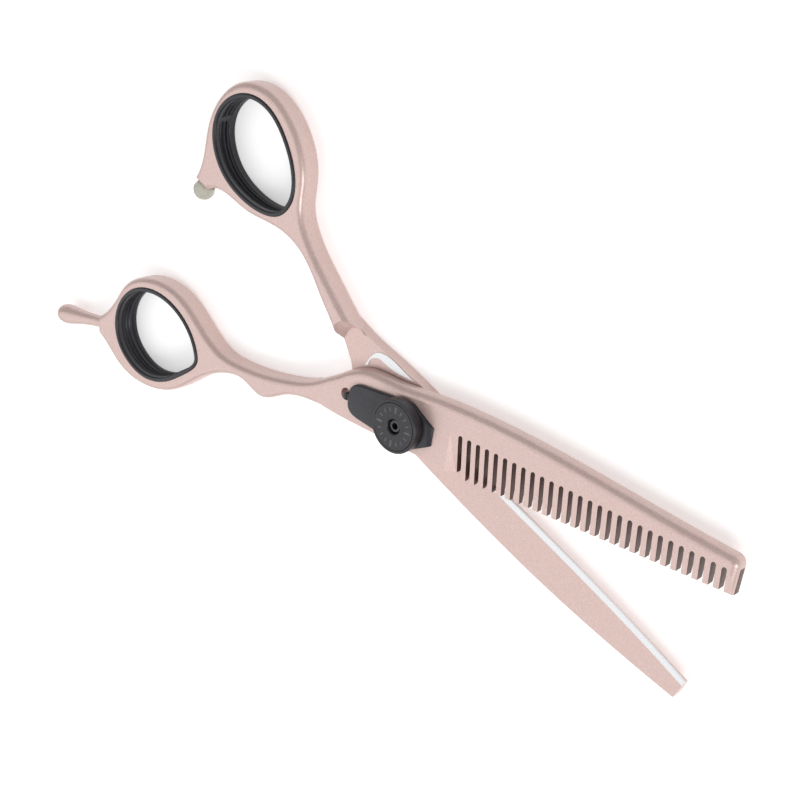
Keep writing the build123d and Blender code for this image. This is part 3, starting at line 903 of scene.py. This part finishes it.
@dataclass
class FingerRest:
    """Screw-in rest: a collar, a slim neck and a rounded swell."""

    seat: Point = (-85.35 * MM, -12.7 * MM, 2.95 * MM)
    heading: float = math.radians(191.5)
    length: float = 15.15 * MM
    collar: float = 1.42 * MM
    neck: float = 1.28 * MM
    bulb: float = 2.16 * MM

    def build(self, material: bpy.types.Material) -> None:
        """Model the rest.

        Args:
            material: The rest's finish.
        """
        swell = [(0.0, self.collar), (0.04, self.collar), (0.16, self.neck), (0.34, 1.4 * MM),
                 (0.51, 1.62 * MM), (0.66, 1.93 * MM), (0.78, self.bulb), (0.87, 2.06 * MM),
                 (0.94, 1.68 * MM), (0.98, 1.05 * MM), (0.996, 0.5 * MM), (0.9996, 0.06 * MM)]
        rings = eased([(share * self.length, radius) for share, radius in swell], 5)
        stem = [(-2.55 * MM, 0.75 * MM), (-2.4 * MM, 0.88 * MM), (-0.02 * MM, 0.88 * MM)]
        piece = turned_piece(self.seat, self.heading, stem + rings)
        finish_piece(piece, "finger_rest_bar", material, 40.0)
        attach(piece, Body.TOOTHED.value)
        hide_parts("finger_rest")


@dataclass
class StopBumper:
    """Soft clear stop: a domed cap with a rolled foot."""

    seat_closed: Point = (-64.9 * MM, 3.7 * MM, 2.95 * MM)
    heading: float = math.radians(-94.0) + OPENING
    length: float = 3.5 * MM
    radius: float = 2.18 * MM
    foot: float = 1.85 * MM
    dome_rings: int = 16

    def seat(self) -> Point:
        """Middle of its foot, with the plain half turned open."""
        x, y, z = self.seat_closed
        turned_x = x * math.cos(OPENING) - y * math.sin(OPENING)
        turned_y = x * math.sin(OPENING) + y * math.cos(OPENING)
        return turned_x, turned_y, z

    def build(self, material: bpy.types.Material) -> None:
        """Model the bumper.

        Args:
            material: The silicone.
        """
        base = self.length - self.radius
        rings = [(0.0, self.foot - 0.15 * MM), (0.06 * MM, self.foot), (0.5 * MM, self.foot + 0.12 * MM),
                 (base, self.radius)]
        for number in range(1, self.dome_rings):
            turn = FULL_TURN / 4 * number / self.dome_rings
            rings.append((base + self.radius * math.sin(turn), self.radius * math.cos(turn)))
        stem = [(-1.98 * MM, 0.6 * MM), (-1.85 * MM, 0.79 * MM), (-0.01 * MM, 0.79 * MM)]
        piece = turned_piece(self.seat(), self.heading, stem + rings)
        finish_piece(piece, "bumper_cap", material, 40.0)
        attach(piece, Body.PLAIN.value)
        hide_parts("stop_bumper")


@dataclass
class PivotStack:
    """Screw, spring, bush and washers, which keep their exact machined shapes."""

    screw: BlackCoating = BlackCoating((0.05, 0.05, 0.055), (0.09, 0.09, 0.095), 0.9, 0.18, 0.28)
    spring: BareMetal = BareMetal((0.6, 0.6, 0.62), (0.45, 0.45, 0.47))
    bush: BareMetal = BareMetal((0.75, 0.56, 0.30), (0.6, 0.43, 0.22))
    slide: SlidePlastic = SlidePlastic()

    def build(self) -> None:
        """Dress the pivot's pieces."""
        dress("pivot_screw", self.screw.build(Slot.SCREW.value))
        dress("disc_spring", self.spring.build(Slot.SPRING.value))
        dress("pivot_bush", self.bush.build(Slot.BRONZE.value))
        slide = self.slide.build(Slot.SLIDE.value)
        dress("head_slide_washer", slide)
        dress("glide_washer", slide)


# ---- the stage ---------------------------------------------------------------------


@dataclass(frozen=True)
class StudioLight:
    """A soft square light, aimed at the shears."""

    name: str
    place: Point
    width: float
    power: float

    def build(self) -> None:
        """Add the light."""
        bpy.ops.object.light_add(type="AREA", location=self.place)
        light = bpy.context.object
        light.name = self.name
        light.data.size = self.width
        light.data.energy = self.power
        light.rotation_euler = (-Vector(self.place)).to_track_quat("-Z", "Y").to_euler()


@dataclass
class Studio:
    """Pale floor, soft lights and camera."""

    camera_place: Point = (160.7 * MM, 129.8 * MM, 225.3 * MM)
    camera_aim: Point = (-3.5 * MM, 2.6 * MM, 3.0 * MM)
    camera_roll: float = math.radians(-110.36)
    lens: float = 73.5
    floor_gap: float = 0.02 * MM
    floor_glow: float = 0.40

    def build(self) -> None:
        """Add everything that isn't part of the shears."""
        self.floor()
        self.world()
        for light in (
            StudioLight("key_light", (0.70, -0.16, 0.56), 0.35, 2.9),
            StudioLight("back_light", (-0.45, -0.38, 0.70), 1.3, 5.4),
        ):
            light.build()
        self.camera()

    def floor(self) -> None:
        """Add the pale floor."""
        clear_selection()
        bpy.ops.mesh.primitive_plane_add(size=6.0, location=(0, 0, -self.floor_gap))
        floor = bpy.context.object
        floor.name = "floor"
        shader = Shader("pale_floor")
        shader.set(Base_Color=(0.9, 0.9, 0.9, 1.0), Roughness=0.9)
        shader.set(Emission_Color=(1.0, 1.0, 1.0, 1.0), Emission_Strength=self.floor_glow)
        shader.surface.inputs["Specular IOR Level"].default_value = 0.1
        floor.data.materials.append(shader.material)

    def world(self) -> None:
        """Light the room evenly."""
        world = bpy.data.worlds.new("studio")
        bpy.context.scene.world = world
        world.use_nodes = True
        background = world.node_tree.nodes["Background"]
        background.inputs["Color"].default_value = (1.0, 1.0, 1.0, 1.0)
        background.inputs["Strength"].default_value = 0.38
        bpy.context.scene.view_settings.view_transform = "Standard"

    def camera(self) -> None:
        """Add the camera."""
        bpy.ops.object.camera_add(location=self.camera_place)
        camera = bpy.context.object
        camera.name = "camera"
        camera.data.lens = self.lens
        camera.data.sensor_width = 36.0
        camera.data.clip_start = 0.01
        aim = Vector(self.camera_aim) - Vector(self.camera_place)
        level = aim.to_track_quat("-Z", "Y")
        camera.rotation_euler = (level @ Quaternion((0, 0, 1), self.camera_roll)).to_euler()
        bpy.context.scene.camera = camera


def main() -> None:
    """Build the shears' looks in order."""
    logging.basicConfig(level=logging.INFO, format="%(name)s: %(message)s")
    Halves().build()
    rubber = MouldedRubber().build(Slot.RUBBER.value)
    RingLiner("finger_ring_insert", Body.TOOTHED).build(rubber)
    RingLiner("thumb_ring_insert", Body.PLAIN).build(rubber)
    plate = BlackCoating((0.026, 0.026, 0.032), (0.044, 0.043, 0.052), 0.3, 0.28, 0.38)
    ClickPlate().build(plate.build(Slot.PLATE.value))
    coating = BlackCoating((0.020, 0.020, 0.024), (0.046, 0.044, 0.050), 0.3, 0.34, 0.46)
    ink = BlackCoating((0.075, 0.075, 0.085), (0.13, 0.13, 0.145), 0.0, 0.4, 0.5)
    TensionDial().build(coating.build(Slot.DIAL.value), ink.build("dial_mark_grey"))
    FingerRest().build(SatinPaint().build(Slot.REST_PAINT.value))
    StopBumper().build(ClearSilicone().build(Slot.SILICONE.value))
    PivotStack().build()
    Studio().build()


if __name__ == "__main__":
    main()
